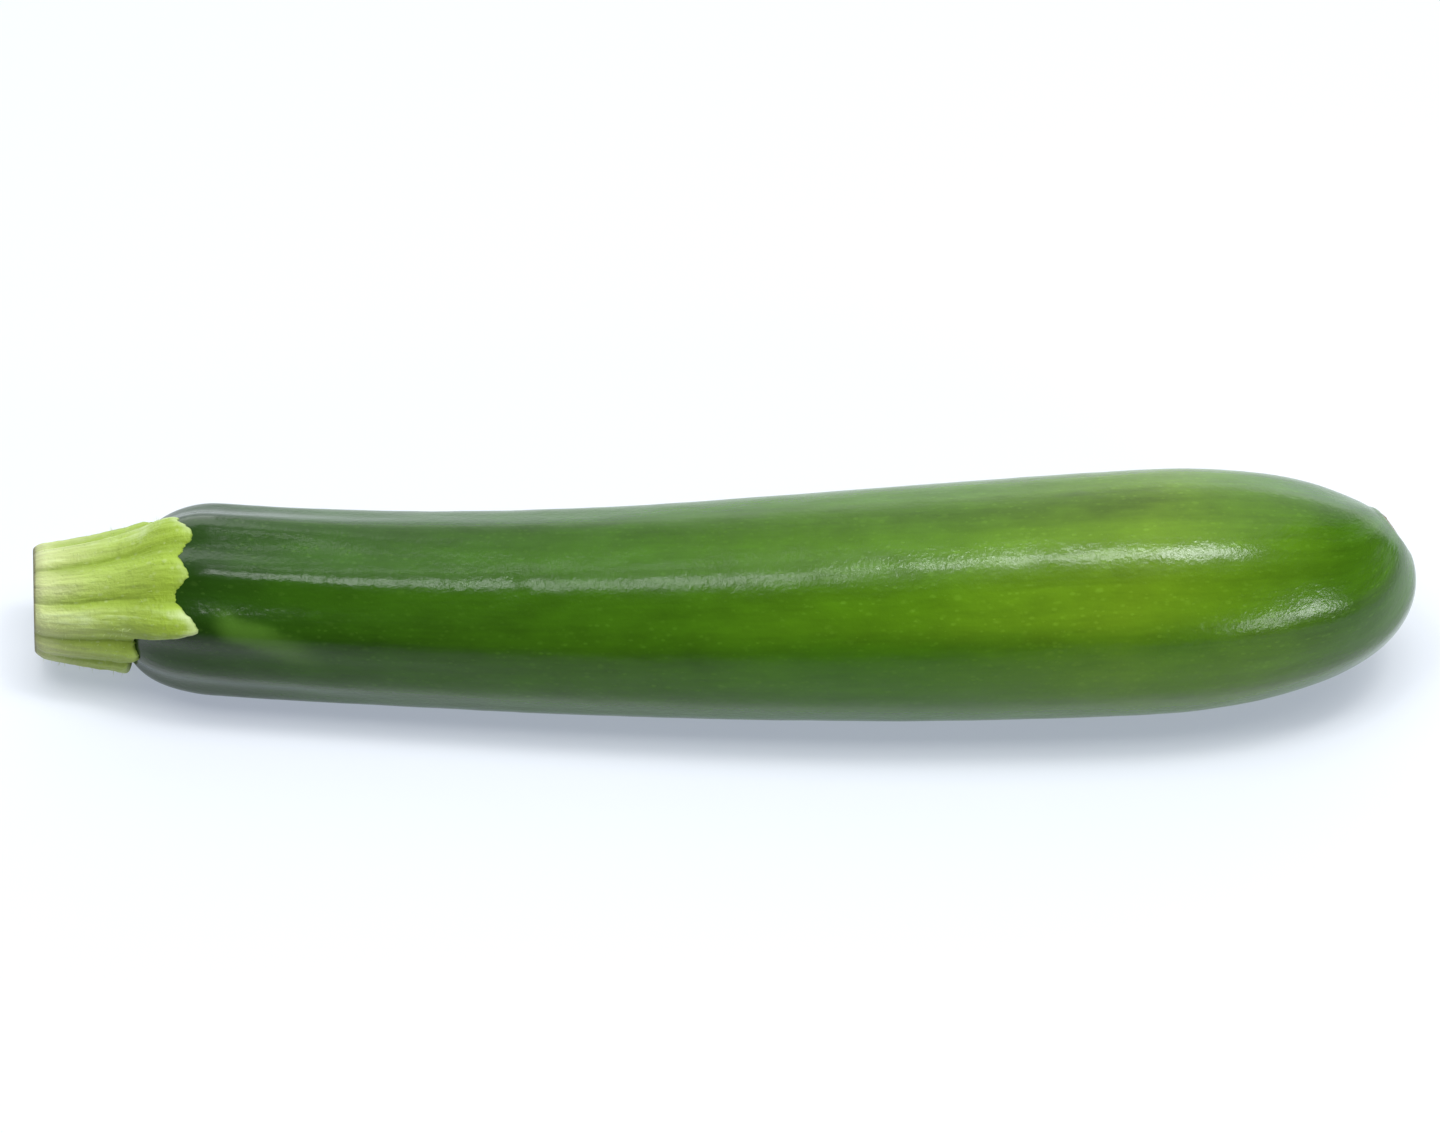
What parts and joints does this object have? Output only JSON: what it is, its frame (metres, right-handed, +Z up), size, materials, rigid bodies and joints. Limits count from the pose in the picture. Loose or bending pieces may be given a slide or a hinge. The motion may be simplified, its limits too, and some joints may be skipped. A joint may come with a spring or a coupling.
{
  "type": "courgette",
  "caption": "Whole courgette (zucchini) lying on its side: a gently bent, club-shaped fruit with low ribs and the fluted stub of its stem, for food, kitchen and market scenes.",
  "frame": {"origin": "on the surface the courgette lies on, under the centre of its bounding box", "axes": "+X along the fruit from the cut stem to the blossom end, +Z up; +Y is the side that both ends bend towards"},
  "size_m": [0.2217, 0.04, 0.0385],
  "materials": {
    "skin": null,
    "stalk": null
  },
  "bodies": {
    "root": {"fruit": "skin", "stem": "stalk"}
  },
  "joints": []
}
